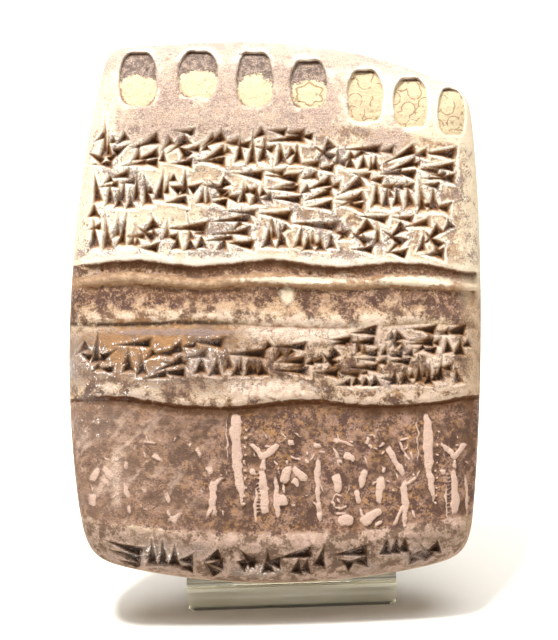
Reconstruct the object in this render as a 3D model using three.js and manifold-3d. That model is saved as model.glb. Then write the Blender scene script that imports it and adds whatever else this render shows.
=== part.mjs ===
// A pillow-shaped clay tablet that leans on a small clear easel, bent from one acrylic sheet. The tablet is
// stamped along its top, written in rows of wedge strokes and rolled with a cylinder seal below them.
// Millimetres, +Z up. The written face looks towards -Y and a little up.

import * as THREE from 'three';
import Module from 'manifold-3d';
import { mergeVertices } from 'three/addons/utils/BufferGeometryUtils.js';

const wasm = await Module();
wasm.setup();

// Sizes of the tablet
const TABLET_WIDTH = 89.6;
const TABLET_HEIGHT = 118;
const FRONT_SWELL = 13;
const BACK_SWELL = 17;
const EDGE_LAND = 4;

// Depths of the carving
const STAMP_DEPTH = 1.3;
const STAMP_WIDTH = 8.2;
const STAMP_TALL = 11.4;
const STROKE_DEPTH = 1.5;
const STROKE_HEAD = 2.3;
const GROOVE_DEPTH = 1.3;
const ROLLING_DEPTH = 2.1;
const LIP_RISE = 0.5;
const FIGURE_RISE = 0.8;

// Sizes of the easel
const EASEL_WIDTH = 46;
const SHEET = 3;
const SHELF_DEPTH = 12;
const SHELF_FRONT_HEIGHT = 8;
const REST_LENGTH = 66;
const BEND_RADIUS = 1.2;
const PROP_WIDTH = 25;
const PROP_HINGE_HEIGHT = 46;
const PROP_KERF = 0.6;
const PROP_NOTCH = 5;
const FOOT_CORNER = 1.5;
const TOP_CORNER = 6;

// How the tablet and the easel stand
const LEAN = THREE.MathUtils.degToRad(15);
const PROP_SPLAY = THREE.MathUtils.degToRad(13);
const TABLET_ROLL = THREE.MathUtils.degToRad(-1.9);
const TABLET_OFFSET = -3.6;
const SEAT_CLEARANCE = 0.3;

// The tablet's outline: four corners, in shares of its width from the middle and of its height from the foot,
// and how far each side bows out between them, in the same shares. The top bows out most right of its middle.
const CORNERS = {
  topLeft: [-0.402, 0.983],
  topRight: [0.467, 0.898],
  footRight: [0.469, 0.053],
  footLeft: [-0.452, 0.047],
};
const BOWS = { left: 0.068, right: 0.03, top: 0.052, foot: 0.048 };
const TOP_BOW_SKEW = 1.235;
const CORNER_POWER_TOP = 30;
const CORNER_POWER_FOOT = 18;
const CORNER_SPREAD = 6;
const LINE_FADE = 4;
const SWELL_POWER = 10;

// The bands across the face, from the foot up: share of the height, and sink below the plain face.
const BANDS = [
  { name: 'rolling foot', share: 0.086, sink: 0 },
  { name: 'rolling low edge', share: 0.106, sink: ROLLING_DEPTH * 0.45 },
  { name: 'rolling middle', share: 0.19, sink: ROLLING_DEPTH * 0.55 },
  { name: 'rolling upper part', share: 0.29, sink: ROLLING_DEPTH * 0.75 },
  { name: 'rolling top', share: 0.328, sink: ROLLING_DEPTH },
  { name: 'lip edge', share: 0.338, sink: -LIP_RISE * 0.6 },
  { name: 'lip crest', share: 0.352, sink: -LIP_RISE },
  { name: 'lip back', share: 0.372, sink: 0 },
  { name: 'lower groove foot', share: 0.47, sink: 0 },
  { name: 'lower groove', share: 0.478, sink: GROOVE_DEPTH * 0.35 },
  { name: 'lower ridge', share: 0.493, sink: 0 },
  { name: 'broad groove foot', share: 0.512, sink: GROOVE_DEPTH * 0.55 },
  { name: 'broad groove top', share: 0.541, sink: GROOVE_DEPTH },
  { name: 'upper ridge foot', share: 0.551, sink: GROOVE_DEPTH * 0.15 },
  { name: 'upper ridge top', share: 0.56, sink: GROOVE_DEPTH * 0.15 },
  { name: 'upper groove foot', share: 0.569, sink: GROOVE_DEPTH * 0.85 },
  { name: 'upper groove top', share: 0.582, sink: GROOVE_DEPTH },
  { name: 'upper ledge', share: 0.59, sink: 0 },
];

// The edges of the bands wander up and down along the face: wave length and rise in millimetres.
const WANDERS = [
  { from: 0.31, to: 0.42, length: 39, phase: 0.1, rise: 0.95 },
  { from: 0.44, to: 0.53, length: 47, phase: 0.55, rise: 0.45 },
  { from: 0.53, to: 0.63, length: 29, phase: 0.3, rise: 0.65 },
];

// Rows of wedge strokes: where they run, in shares, how tall they are and what they open with.
const ROWS = [
  { share: 0.796, from: -0.44, to: 0.44, tall: 8.2, seed: 11, opens: 'fan' },
  { share: 0.722, from: -0.43, to: 0.44, tall: 7.6, seed: 29, opens: 'uprights' },
  { share: 0.644, from: -0.44, to: 0.44, tall: 8.8, seed: 47, opens: 'uprights' },
  { share: 0.413, from: -0.47, to: 0.17, tall: 8.2, seed: 61, opens: 'fan' },
  { share: 0.444, from: 0.18, to: 0.46, tall: 6.6, seed: 83, opens: 'flats' },
  { share: 0.387, from: 0.18, to: 0.46, tall: 6.4, seed: 97, opens: 'comb' },
  { share: 0.047, from: -0.39, to: 0.42, tall: 6.6, seed: 113, opens: 'slants' },
];

// Ways in which a few strokes stand together. Each stroke is the middle of its head, across and up, then the
// angle in degrees from head to tail, then the length. Places and lengths are shares of the row's height.
const CLUSTERS = {
  fan: {
    wide: 1,
    strokes: [[0.5, 0.3, 90, 0.7], [0.62, 0.42, 32, 0.42], [0.38, 0.42, 150, 0.42], [0.6, 0.16, 184, 0.6]],
  },
  flats: { wide: 0.95, strokes: [[0.92, 0.8, 180, 0.86], [0.88, 0.48, 184, 0.8], [0.94, 0.17, 177, 0.78]] },
  uprights: { wide: 0.95, strokes: [[0.16, 0.1, 93, 0.84], [0.47, 0.05, 90, 0.8], [0.78, 0.12, 86, 0.82]] },
  gate: { wide: 0.92, strokes: [[0.88, 0.85, 179, 0.84], [0.26, 0.07, 91, 0.56], [0.64, 0.06, 89, 0.54]] },
  slants: { wide: 0.84, strokes: [[0.76, 0.8, 204, 0.72], [0.8, 0.45, 198, 0.74], [0.76, 0.12, 178, 0.66]] },
  comb: {
    wide: 1.1,
    strokes: [[1.06, 0.62, 180, 1], [0.24, 0.05, 90, 0.42], [0.54, 0.04, 90, 0.4], [0.84, 0.06, 90, 0.42]],
  },
  hook: { wide: 0.78, strokes: [[0.62, 0.74, 222, 0.56], [0.6, 0.28, 140, 0.52], [0.7, 0.08, 176, 0.5]] },
};

// Stamps along the top: their middle, in shares of the width and the height, and their size against the plain
// stamp.
const STAMPS = [
  { across: -0.326, up: 0.92, wide: 1.02, tall: 1.08 },
  { across: -0.183, up: 0.929, wide: 1.08, tall: 0.94 },
  { across: -0.048, up: 0.92, wide: 1, tall: 1.1 },
  { across: 0.08, up: 0.911, wide: 1, tall: 0.96 },
  { across: 0.215, up: 0.89, wide: 0.95, tall: 1.03 },
  { across: 0.3225, up: 0.877, wide: 0.93, tall: 0.99 },
  { across: 0.4215, up: 0.8615, wide: 0.75, tall: 0.93 },
];
const STAMP_TAPER_TOP = 0.35;
const STAMP_TAPER_FOOT = 0.12;

// The rolled picture. It repeats once for each turn of the seal; all its shapes are in shares of its height.
const PICTURE_FOOT = 0.106;
const PICTURE_TOP = 0.328;
const PICTURE_START = -0.094;
const PICTURE_TURN = 1.557;
const PICTURE_TURNS = [-1, 0, 1];
const PICTURE_SIDES = [-0.44, 0.455];
const WORN_RISE = 0.6;

// Strokes stop at this level of the outline, where the face turns down to the edge.
const STROKE_LIMIT = 0.975;
const CLUSTER_GAP = 0.06;

// Grids of the tablet's form
const COLUMNS = 22;
const RIM_STEPS = [0.0, 0.012, 0.035, 0.065];
const TOP_STEPS = [0.63, 0.69, 0.76, 0.83, 0.9, 0.95, 0.978, 0.993, 1];

const lerp = THREE.MathUtils.lerp;
const bow = (t) => 4 * t * (1 - t);

// Repeatable dice, so that the strokes fall the same way each time.
function dice(seed) {
  let state = seed;
  return () => {
    state = (state * 16807) % 2147483647;
    return state / 2147483647;
  };
}

// The outline's left and right sides at a share of the height, and its foot and top at a place across.
function sideAt(low, high, bulge, share) {
  return (lerp(low[0], high[0], share) + bulge * bow(share)) * TABLET_WIDTH;
}
const leftAt = (share) => sideAt(CORNERS.footLeft, CORNERS.topLeft, -BOWS.left, share);
const rightAt = (share) => sideAt(CORNERS.footRight, CORNERS.topRight, BOWS.right, share);

function endAt(left, right, bulge, skew, x) {
  const t = THREE.MathUtils.clamp((x / TABLET_WIDTH - left[0]) / (right[0] - left[0]), 0, 1);
  return (lerp(left[1], right[1], t) + bulge * bow(t ** skew)) * TABLET_HEIGHT;
}
const footAt = (x) => endAt(CORNERS.footLeft, CORNERS.footRight, -BOWS.foot, 1, x);
const topAt = (x) => endAt(CORNERS.topLeft, CORNERS.topRight, BOWS.top, TOP_BOW_SKEW, x);

// The height of a line at a share of the face. Lines near the foot and the top follow those ends' slopes.
function lineAt(share, x) {
  const rise = footAt(x) * (1 - share) ** LINE_FADE;
  const drop = (topAt(x) - TABLET_HEIGHT) * share ** LINE_FADE;
  return share * TABLET_HEIGHT + rise + drop;
}

function shareAt(x, y) {
  let share = y / TABLET_HEIGHT;
  for (let i = 0; i < 12; i++) share += (y - lineAt(share, x)) / TABLET_HEIGHT;
  return share;
}

// u and v run from -1 to 1 across and up. The level is 1 on the outline and less inside it.
const cornerPower = (v) => (v > 0 ? CORNER_POWER_TOP : CORNER_POWER_FOOT);
function levelOf(u, v) {
  const power = cornerPower(v);
  return (Math.abs(u) ** power + Math.abs(v) ** power) ** (1 / power);
}

// Pulls the square's corners in to the rounded outline.
function roundCorner(u, v) {
  const reach = Math.max(Math.abs(u), Math.abs(v));
  if (reach === 0) return [0, 0];
  const pull = 1 - (1 - 1 / levelOf(u / reach, v / reach)) * reach ** CORNER_SPREAD;
  return [u * pull, v * pull];
}

// The front or back swell above the edge land, at a level.
const swellAt = (level) => Math.sqrt(Math.max(0, 1 - Math.min(level, 1) ** SWELL_POWER));
const carvedShare = (level) => THREE.MathUtils.smoothstep(1 - level, 0, 0.03);

// How far the face is sunk at a share of its height, before the bands' edges wander.
function sinkAt(share) {
  const above = BANDS.findIndex((band) => band.share >= share);
  if (above <= 0) return 0;
  const [low, high] = [BANDS[above - 1], BANDS[above]];
  return lerp(low.sink, high.sink, (share - low.share) / (high.share - low.share));
}

function wanderAt(share, x) {
  let rise = 0;
  for (const w of WANDERS) {
    const middle = (w.from + w.to) / 2;
    const reach = (w.to - w.from) / 2;
    const fade = Math.max(0, 1 - Math.abs(share - middle) / reach);
    rise += w.rise * Math.min(1, 2 * fade) * Math.sin(2 * Math.PI * (x / w.length + w.phase));
  }
  return rise;
}

function levelAt(x, share) {
  const u = (2 * (x - leftAt(share))) / (rightAt(share) - leftAt(share)) - 1;
  return levelOf(u, 2 * share - 1);
}

// Height of the carved bands' face above the mid plane, at a place on the face.
function faceAt(x, y) {
  let share = shareAt(x, y);
  share = shareAt(x, y - wanderAt(share, x));
  const level = levelAt(x, share);
  const swell = EDGE_LAND / 2 + (FRONT_SWELL - EDGE_LAND / 2) * swellAt(level);
  return swell - sinkAt(share) * carvedShare(level);
}

// A point of the tablet for a place on the square and a side, 1 for the front and -1 for the back.
function tabletPoint(column, share, side) {
  const [u, v] = roundCorner(column, 2 * share - 1);
  const level = levelOf(u, v);
  const height = (v + 1) / 2;
  const x = lerp(leftAt(height), rightAt(height), (u + 1) / 2);
  const inner = carvedShare(level);
  const y = lineAt(height, x) + (side > 0 ? wanderAt(height, x) * inner : 0);
  const swell = (side > 0 ? FRONT_SWELL : BACK_SWELL) - EDGE_LAND / 2;
  const sink = side > 0 ? sinkAt(height) * inner : 0;
  return [x, y, side * (EDGE_LAND / 2 + swell * swellAt(level)) - sink];
}

// Positions of the grid's columns: even across the face and closer over the rim.
function columnPlace(t) {
  const side = Math.sign(t);
  const far = Math.abs(t);
  const edge = 0.75;
  const pace = 2 / (1 + edge);
  return side * (far < edge ? pace * far : 1 - (pace / (2 * (1 - edge))) * (1 - far) ** 2);
}

function solidFrom(geometry) {
  const bare = new THREE.BufferGeometry().setAttribute('position', geometry.getAttribute('position'));
  if (geometry.index) bare.setIndex(geometry.index);
  const merged = mergeVertices(bare, 1e-4);
  return new wasm.Manifold(
    new wasm.Mesh({
      numProp: 3,
      vertProperties: new Float32Array(merged.attributes.position.array),
      triVerts: new Uint32Array(merged.index.array),
    }),
  );
}

function geometryFrom(solid) {
  const mesh = solid.getMesh();
  const places = new Float32Array(mesh.numVert * 3);
  for (let i = 0; i < mesh.numVert; i++) {
    for (let k = 0; k < 3; k++) places[3 * i + k] = mesh.vertProperties[i * mesh.numProp + k];
  }
  const geometry = new THREE.BufferGeometry();
  geometry.setAttribute('position', new THREE.BufferAttribute(places, 3));
  geometry.setIndex(new THREE.BufferAttribute(new Uint32Array(mesh.triVerts), 1));
  return geometry;
}

// The uncarved tablet: a box's surface, each of its points moved to its place on the pillow.
function tabletForm() {
  const lines = [...RIM_STEPS, ...BANDS.map((band) => band.share), ...TOP_STEPS];
  const box = new THREE.BoxGeometry(2, 2, 2, COLUMNS, lines.length - 1, 1);
  const spots = box.getAttribute('position');
  for (let i = 0; i < spots.count; i++) {
    const line = Math.round(((spots.getY(i) + 1) / 2) * (lines.length - 1));
    spots.setXYZ(i, ...tabletPoint(columnPlace(spots.getX(i)), lines[line], spots.getZ(i)));
  }
  return solidFrom(box);
}

// A flat outline made a slab, with its floor and ceiling at heights that follow the place.
function slab(outline, floor, ceiling) {
  const shape = new THREE.Shape(outline.map(([x, y]) => new THREE.Vector2(x, y)));
  const geometry = new THREE.ExtrudeGeometry(shape, { depth: 1, bevelEnabled: false });
  const spots = geometry.getAttribute('position');
  for (let i = 0; i < spots.count; i++) {
    const level = spots.getZ(i) > 0.5 ? ceiling : floor;
    spots.setZ(i, level(spots.getX(i), spots.getY(i)));
  }
  return solidFrom(geometry);
}

// The cutter of one wedge stroke: a pyramid upside down. Its three rims lie on the face and run on above it.
function strokeCutter({ x, y, angle, length, head }) {
  const place = (far, aside, deep) => {
    const px = x + far * Math.cos(angle) - aside * Math.sin(angle);
    const py = y + far * Math.sin(angle) + aside * Math.cos(angle);
    return new THREE.Vector3(px, py, faceAt(px, py) - deep);
  };
  const pit = place(0.22 * length, 0, STROKE_DEPTH);
  const rims = [place(length, 0, 0), place(0, head / 2, 0), place(0, -head / 2, 0)];
  const above = rims.map((rim) => rim.sub(pit).multiplyScalar(1.8).add(pit));
  const geometry = new THREE.BufferGeometry().setFromPoints([pit, ...above]);
  geometry.setIndex([0, 2, 1, 0, 3, 2, 0, 1, 3, 1, 2, 3]);
  return solidFrom(geometry);
}

// The strokes of one row, cluster after cluster, each a little out of true.
function rowStrokes(row) {
  const roll = dice(row.seed);
  const kinds = Object.keys(CLUSTERS);
  const strokes = [];
  let kind = row.opens;
  let across = row.from * TABLET_WIDTH;
  while (across + CLUSTERS[kind].wide * row.tall < row.to * TABLET_WIDTH) {
    const cluster = CLUSTERS[kind];
    for (const [right, up, turn, long] of cluster.strokes) {
      const x = across + (right + 0.08 * (roll() - 0.5)) * row.tall;
      const y = lineAt(row.share, x) + (up - 0.5 + 0.08 * (roll() - 0.5)) * row.tall;
      const angle = THREE.MathUtils.degToRad(turn + 14 * (roll() - 0.5));
      const length = long * row.tall * (0.9 + 0.2 * roll());
      const head = STROKE_HEAD * (0.85 + 0.3 * roll());
      const tail = [x + length * Math.cos(angle), y + length * Math.sin(angle)];
      const ends = [[x, y], tail].map(([ex, ey]) => levelAt(ex, shareAt(ex, ey)));
      if (Math.max(...ends) < STROKE_LIMIT) strokes.push({ x, y, angle, length, head });
    }
    across += (cluster.wide + CLUSTER_GAP) * row.tall;
    kind = kinds[Math.floor(roll() * kinds.length)];
  }
  return strokes;
}

// One stamp's outline: a rounded box, narrower at its top.
function stampOutline(stamp) {
  const x = stamp.across * TABLET_WIDTH;
  const y = stamp.up * TABLET_HEIGHT;
  const half = (STAMP_WIDTH * stamp.wide) / 2;
  const tall = (STAMP_TALL * stamp.tall) / 2;
  const steps = 16;
  return Array.from({ length: steps }, (_, i) => {
    const turn = ((i + 0.5) / steps) * 2 * Math.PI;
    const round = (value) => Math.sign(value) * Math.abs(value) ** 0.6;
    const up = round(Math.sin(turn));
    const taper = 1 - (up > 0 ? STAMP_TAPER_TOP : STAMP_TAPER_FOOT) * up ** 2;
    return [x + half * taper * round(Math.cos(turn)), y + tall * up];
  });
}

// A stamp went in deepest at its top.
function stampCutter(stamp) {
  const middle = stamp.up * TABLET_HEIGHT;
  const depthAt = (y) => STAMP_DEPTH * (0.75 + 0.5 * ((y - middle) / STAMP_TALL));
  return slab(stampOutline(stamp), (x, y) => faceAt(x, y) - depthAt(y), (x, y) => faceAt(x, y) + 3);
}

// The rolled picture's shapes, as strokes from one point to another with a half width at each end.
const line = (x0, y0, x1, y1, half0, half1 = half0) => ({ x0, y0, x1, y1, half0, half1 });
const dot = (x, y, half) => line(x - half * 0.4, y, x + half * 0.4, y, half);

function pillar(x) {
  const bend = x + 0.02;
  return [line(x, 0.93, bend, 0.45, 0.07, 0.055), line(bend, 0.45, x + 0.06, 0.19, 0.055, 0.012)];
}

function robedFigure(x) {
  return [
    line(x - 0.1, 0.69, x, 0.58, 0.028, 0.04),
    line(x, 0.58, x + 0.1, 0.69, 0.04, 0.035),
    line(x - 0.01, 0.47, x + 0.01, 0.14, 0.045, 0.055),
    line(x + 0.09, 0.44, x + 0.12, 0.1, 0.025, 0.03),
    line(x - 0.07, 0.36, x - 0.06, 0.06, 0.016),
    dot(x - 0.09, 0.46, 0.033),
  ];
}

function jarOnStem(x) {
  const neck = line(x + 0.02, 0.5, x - 0.02, 0.4, 0.03, 0.045);
  return [neck, dot(x - 0.04, 0.24, 0.07), dot(x + 0.05, 0.71, 0.035)];
}

function beast(x) {
  return [line(x - 0.02, 0.5, x + 0.06, 0.42, 0.03, 0.05), line(x - 0.02, 0.4, x + 0.03, 0.36, 0.035, 0.02)];
}

function spear(x) {
  const shaft = line(x, 0.56, x, 0.22, 0.04, 0.03);
  return [dot(x, 0.68, 0.04), shaft, line(x, 0.22, x + 0.02, 0.05, 0.045, 0.014)];
}

function seatedFigure(x) {
  return [
    line(x, 0.73, x + 0.17, 0.68, 0.022, 0.014),
    line(x + 0.11, 0.6, x + 0.17, 0.56, 0.038, 0.022),
    line(x + 0.02, 0.43, x + 0.04, 0.3, 0.05, 0.035),
    line(x, 0.22, x + 0.07, 0.16, 0.03, 0.04),
    line(x + 0.06, 0.08, x + 0.16, 0.07, 0.05, 0.055),
  ];
}

function tallVessel(x) {
  return [
    line(x + 0.01, 0.46, x - 0.02, 0.34, 0.05, 0.03),
    line(x + 0.15, 0.42, x + 0.12, 0.22, 0.055, 0.035),
    line(x - 0.06, 0.31, x - 0.03, 0.22, 0.035),
    line(x, 0.06, x + 0.12, 0.14, 0.06, 0.055),
  ];
}

function walkingFigure(x) {
  return [
    line(x - 0.1, 0.66, x + 0.02, 0.46, 0.04, 0.045),
    line(x - 0.01, 0.72, x + 0.09, 0.57, 0.02),
    line(x + 0.03, 0.4, x + 0.03, 0.2, 0.03, 0.055),
    line(x, 0.34, x + 0.12, 0.42, 0.022),
    line(x + 0.04, 0.2, x + 0.03, 0.02, 0.035, 0.025),
    line(x + 0.02, 0.2, x - 0.06, 0.03, 0.03, 0.02),
  ];
}

function pictureTurn(start) {
  return [
    ...pillar(start),
    ...robedFigure(start + 0.23),
    ...jarOnStem(start + 0.41),
    ...beast(start + 0.49),
    ...spear(start + 0.67),
    ...seatedFigure(start + 0.79),
    ...tallVessel(start + 1.04),
    ...walkingFigure(start + 1.345),
  ];
}

// One raised shape of the picture: six corners, with a point at each end.
function raisedShape(stroke, rise) {
  const tall = (PICTURE_TOP - PICTURE_FOOT) * TABLET_HEIGHT;
  const left = PICTURE_START * TABLET_WIDTH;
  const foot = PICTURE_FOOT * TABLET_HEIGHT;
  const a = new THREE.Vector2(left + stroke.x0 * tall, foot + stroke.y0 * tall);
  const b = new THREE.Vector2(left + stroke.x1 * tall, foot + stroke.y1 * tall);
  const along = b.clone().sub(a).normalize();
  const aside = new THREE.Vector2(-along.y, along.x);
  const corner = (from, far, side) => [
    from.x + far * along.x + side * aside.x,
    from.y + far * along.y + side * aside.y,
  ];
  const [wideA, wideB] = [stroke.half0 * tall, stroke.half1 * tall];
  const outline = [
    corner(a, -wideA, 0),
    corner(a, 0, -wideA),
    corner(b, 0, -wideB),
    corner(b, wideB, 0),
    corner(b, 0, wideB),
    corner(a, 0, wideA),
  ];
  const inside = outline.every(
    ([x]) => x > PICTURE_SIDES[0] * TABLET_WIDTH && x < PICTURE_SIDES[1] * TABLET_WIDTH,
  );
  if (!inside) return null;
  return slab(outline, (x, y) => faceAt(x, y) - 1.2, (x, y) => faceAt(x, y) + rise);
}

function tabletSolid() {
  const raised = PICTURE_TURNS.flatMap((turn) =>
    pictureTurn(turn * PICTURE_TURN).map((stroke) =>
      raisedShape(stroke, turn < 0 ? FIGURE_RISE * WORN_RISE : FIGURE_RISE),
    ),
  ).filter((shape) => shape !== null);
  const cuts = [
    ...STAMPS.map(stampCutter),
    ...ROWS.flatMap(rowStrokes).map(strokeCutter),
  ];
  let solid = tabletForm();
  for (const shape of raised) solid = solid.add(shape);
  for (const cut of cuts) solid = solid.subtract(cut);
  const pieces = solid.decompose().sort((a, b) => b.volume() - a.volume());
  return pieces[0];
}

// A strip's side outline: a route with rounded bends, given half the sheet's thickness on each side.
function bentStrip(route) {
  const half = SHEET / 2;
  const middleRadius = BEND_RADIUS + half;
  const sides = [[], []];
  const place = (point, along) => {
    const aside = new THREE.Vector2(-along.y, along.x).multiplyScalar(half);
    sides[0].push(point.clone().add(aside));
    sides[1].push(point.clone().sub(aside));
  };
  route.forEach((point, i) => {
    const before = i > 0 ? point.clone().sub(route[i - 1]).normalize() : null;
    const after = i < route.length - 1 ? route[i + 1].clone().sub(point).normalize() : null;
    if (!before || !after) {
      place(point, before ?? after);
      return;
    }
    const turn = Math.atan2(before.cross(after), before.dot(after));
    const reach = middleRadius * Math.tan(Math.abs(turn) / 2);
    const start = point.clone().addScaledVector(before, -reach);
    const inner = new THREE.Vector2(-before.y, before.x).multiplyScalar(Math.sign(turn));
    const centre = start.clone().addScaledVector(inner, middleRadius);
    const steps = Math.max(3, Math.ceil(THREE.MathUtils.radToDeg(Math.abs(turn)) / 9));
    for (let k = 0; k <= steps; k++) {
      const angle = (turn * k) / steps;
      const spot = start.clone().rotateAround(centre, angle);
      place(spot, before.clone().rotateAround(new THREE.Vector2(), angle));
    }
  });
  return [...sides[0], ...sides[1].reverse()];
}

// A side outline, its points as depth and height, carried across the easel.
function acrossEasel(outline, width) {
  const geometry = new THREE.ExtrudeGeometry(new THREE.Shape(outline), { depth: width, bevelEnabled: false });
  geometry.translate(0, 0, -width / 2);
  const turn = new THREE.Matrix4().makeBasis(
    new THREE.Vector3(0, 1, 0),
    new THREE.Vector3(0, 0, 1),
    new THREE.Vector3(1, 0, 0),
  );
  return solidFrom(geometry.applyMatrix4(turn));
}

// Directions in the easel's side view: up along the rest, and forward along the shelf.
const UP = new THREE.Vector2(Math.sin(LEAN), Math.cos(LEAN));
const FORWARD = new THREE.Vector2(-Math.cos(LEAN), Math.sin(LEAN));
// Where the shelf's top meets the rest's front.
const SEAT = new THREE.Vector2(0, SHELF_FRONT_HEIGHT - SHELF_DEPTH * Math.sin(LEAN));

function easelSolid() {
  const below = 2;
  const heel = SEAT.clone().addScaledVector(UP, -SHEET / 2).addScaledVector(FORWARD, -SHEET / 2);
  const legY = SEAT.x - SHELF_DEPTH * Math.cos(LEAN) + SHEET / 2;
  const shelfRun = (heel.x - legY) / Math.cos(LEAN);
  const knee = heel.clone().addScaledVector(FORWARD, shelfRun);
  const crown = heel.clone().addScaledVector(UP, REST_LENGTH + SHEET / 2);
  const sheet = acrossEasel(bentStrip([new THREE.Vector2(legY, -below), knee, heel, crown]), EASEL_WIDTH);

  const hinge = heel.clone().addScaledVector(UP, PROP_HINGE_HEIGHT);
  const propWay = new THREE.Vector2(Math.sin(PROP_SPLAY), -Math.cos(PROP_SPLAY));
  const propEnd = hinge.clone().addScaledVector(propWay, (hinge.y + below) / Math.cos(PROP_SPLAY));
  const propRoot = hinge.clone().addScaledVector(UP, PROP_NOTCH);
  const prop = acrossEasel(bentStrip([propRoot, hinge, propEnd]), PROP_WIDTH);

  const corner = (up, forward) => SEAT.clone().addScaledVector(UP, up).addScaledVector(FORWARD, forward);
  const opening = [
    corner(-2 * SHEET, -2 * SHEET),
    corner(-2 * SHEET, PROP_NOTCH),
    corner(PROP_HINGE_HEIGHT - SHEET / 2, PROP_NOTCH),
    corner(PROP_HINGE_HEIGHT - SHEET / 2, -2 * SHEET),
  ].reverse();
  const window = acrossEasel(opening, PROP_WIDTH + 2 * PROP_KERF);

  const trim = frontTrim(crown.y + SHEET);
  return sheet.subtract(window).add(prop).intersect(trim);
}

// The easel's outline from the front, carried through its whole depth: rounded foot and top corners.
function frontTrim(tooTall) {
  const half = EASEL_WIDTH / 2;
  const crownHeight = SEAT.y + REST_LENGTH * Math.cos(LEAN);
  const shape = new THREE.Shape();
  shape.moveTo(-half + FOOT_CORNER, 0);
  shape.lineTo(half - FOOT_CORNER, 0);
  shape.absarc(half - FOOT_CORNER, FOOT_CORNER, FOOT_CORNER, -Math.PI / 2, 0);
  shape.lineTo(half, crownHeight - TOP_CORNER);
  shape.absarc(half - TOP_CORNER, crownHeight - TOP_CORNER, TOP_CORNER, 0, Math.PI / 2);
  shape.absarc(-half + TOP_CORNER, crownHeight - TOP_CORNER, TOP_CORNER, Math.PI / 2, Math.PI);
  shape.lineTo(-half, FOOT_CORNER);
  shape.absarc(-half + FOOT_CORNER, FOOT_CORNER, FOOT_CORNER, Math.PI, 1.5 * Math.PI);
  const depth = 4 * tooTall;
  const geometry = new THREE.ExtrudeGeometry(shape, { depth, bevelEnabled: false, curveSegments: 7 });
  geometry.translate(0, 0, -depth / 2);
  geometry.rotateX(Math.PI / 2);
  return solidFrom(geometry);
}

// How high the tablet's origin stands over the shelf, so that its rounded foot just clears the bent sheet.
function seatHeight() {
  const outer = BEND_RADIUS + SHEET;
  const bendStart = SHELF_DEPTH - outer * Math.tan((Math.PI / 2 + LEAN) / 2);
  let lift = 0;
  let first = true;
  for (let i = 0; i <= 80; i++) {
    for (let k = 0; k <= 80; k++) {
      const [x, y, z] = tabletPoint(columnPlace((2 * i) / 80 - 1), (0.12 * k) / 80, -1);
      const forward = BACK_SWELL + SEAT_CLEARANCE + z;
      const rolledX = TABLET_OFFSET + x * Math.cos(TABLET_ROLL) - y * Math.sin(TABLET_ROLL);
      const rolledY = x * Math.sin(TABLET_ROLL) + y * Math.cos(TABLET_ROLL);
      const past = Math.max(0, forward - bendStart);
      if (Math.abs(rolledX) > EASEL_WIDTH / 2 || past > outer) continue;
      const shelf = Math.sqrt(outer ** 2 - past ** 2) - outer;
      const needed = shelf + SEAT_CLEARANCE - rolledY;
      if (first || needed > lift) lift = needed;
      first = false;
    }
  }
  return lift;
}

const clay = new THREE.MeshStandardMaterial({ color: 0xc9a98a, roughness: 0.85, metalness: 0 });
const acrylic = new THREE.MeshStandardMaterial({
  color: 0xdfe3cf,
  roughness: 0.05,
  metalness: 0,
  transparent: true,
  opacity: 0.35,
});

const tablet = new THREE.Mesh(geometryFrom(tabletSolid()), clay);
tablet.name = 'tablet';
tablet.position.set(TABLET_OFFSET, seatHeight(), BACK_SWELL + SEAT_CLEARANCE);
tablet.rotation.z = TABLET_ROLL;

const leaning = new THREE.Group();
leaning.position.set(0, SEAT.x, SEAT.y);
leaning.rotation.x = Math.PI / 2 - LEAN;
leaning.add(tablet);

const easel = new THREE.Mesh(geometryFrom(easelSolid()), acrylic);
easel.name = 'easel';

// The origin is under the middle of the whole, on the surface that the easel stands on.
const tabletOnEasel = new THREE.Group();
tabletOnEasel.add(leaning, easel);
const middle = new THREE.Box3().setFromObject(tabletOnEasel, true).getCenter(new THREE.Vector3());
tabletOnEasel.position.set(-middle.x, -middle.y, 0);

export default tabletOnEasel;
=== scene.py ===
"""A stamped and inscribed clay tablet, rolled with a cylinder seal, on a clear easel bent from one sheet.

The tablet is built flat, in millimetres: x to the right, y up the written face, z out of it. Then it is leant
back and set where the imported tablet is, in metres.
"""

import math

import bpy
import numpy as np
from mathutils import Matrix, Vector


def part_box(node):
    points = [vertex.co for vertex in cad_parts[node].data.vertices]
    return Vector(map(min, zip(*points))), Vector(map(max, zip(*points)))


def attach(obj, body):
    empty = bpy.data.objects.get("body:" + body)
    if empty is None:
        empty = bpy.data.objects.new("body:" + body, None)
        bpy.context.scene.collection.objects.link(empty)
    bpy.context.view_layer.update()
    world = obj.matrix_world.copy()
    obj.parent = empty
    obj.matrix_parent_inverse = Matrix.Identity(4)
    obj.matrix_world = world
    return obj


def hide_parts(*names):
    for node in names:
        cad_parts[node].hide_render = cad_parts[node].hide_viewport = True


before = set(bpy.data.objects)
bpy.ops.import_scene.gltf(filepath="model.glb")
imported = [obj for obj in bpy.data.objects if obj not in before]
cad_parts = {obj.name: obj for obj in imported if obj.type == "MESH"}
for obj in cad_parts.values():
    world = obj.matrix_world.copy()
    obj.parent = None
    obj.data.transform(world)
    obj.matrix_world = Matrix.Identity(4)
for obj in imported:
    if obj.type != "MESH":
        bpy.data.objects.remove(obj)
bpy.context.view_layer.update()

# The tablet's sizes, in millimetres
WIDTH, HEIGHT = 89.3, 117.6
FRONT_SWELL, BACK_SWELL, EDGE_LAND = 12.28, 16.8, 4.0
LEAN, ROLL = math.radians(15), math.radians(-1.9)
TURN = Matrix.Rotation(math.pi / 2 - LEAN, 3, "X") @ Matrix.Rotation(ROLL, 3, "Z")

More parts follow.
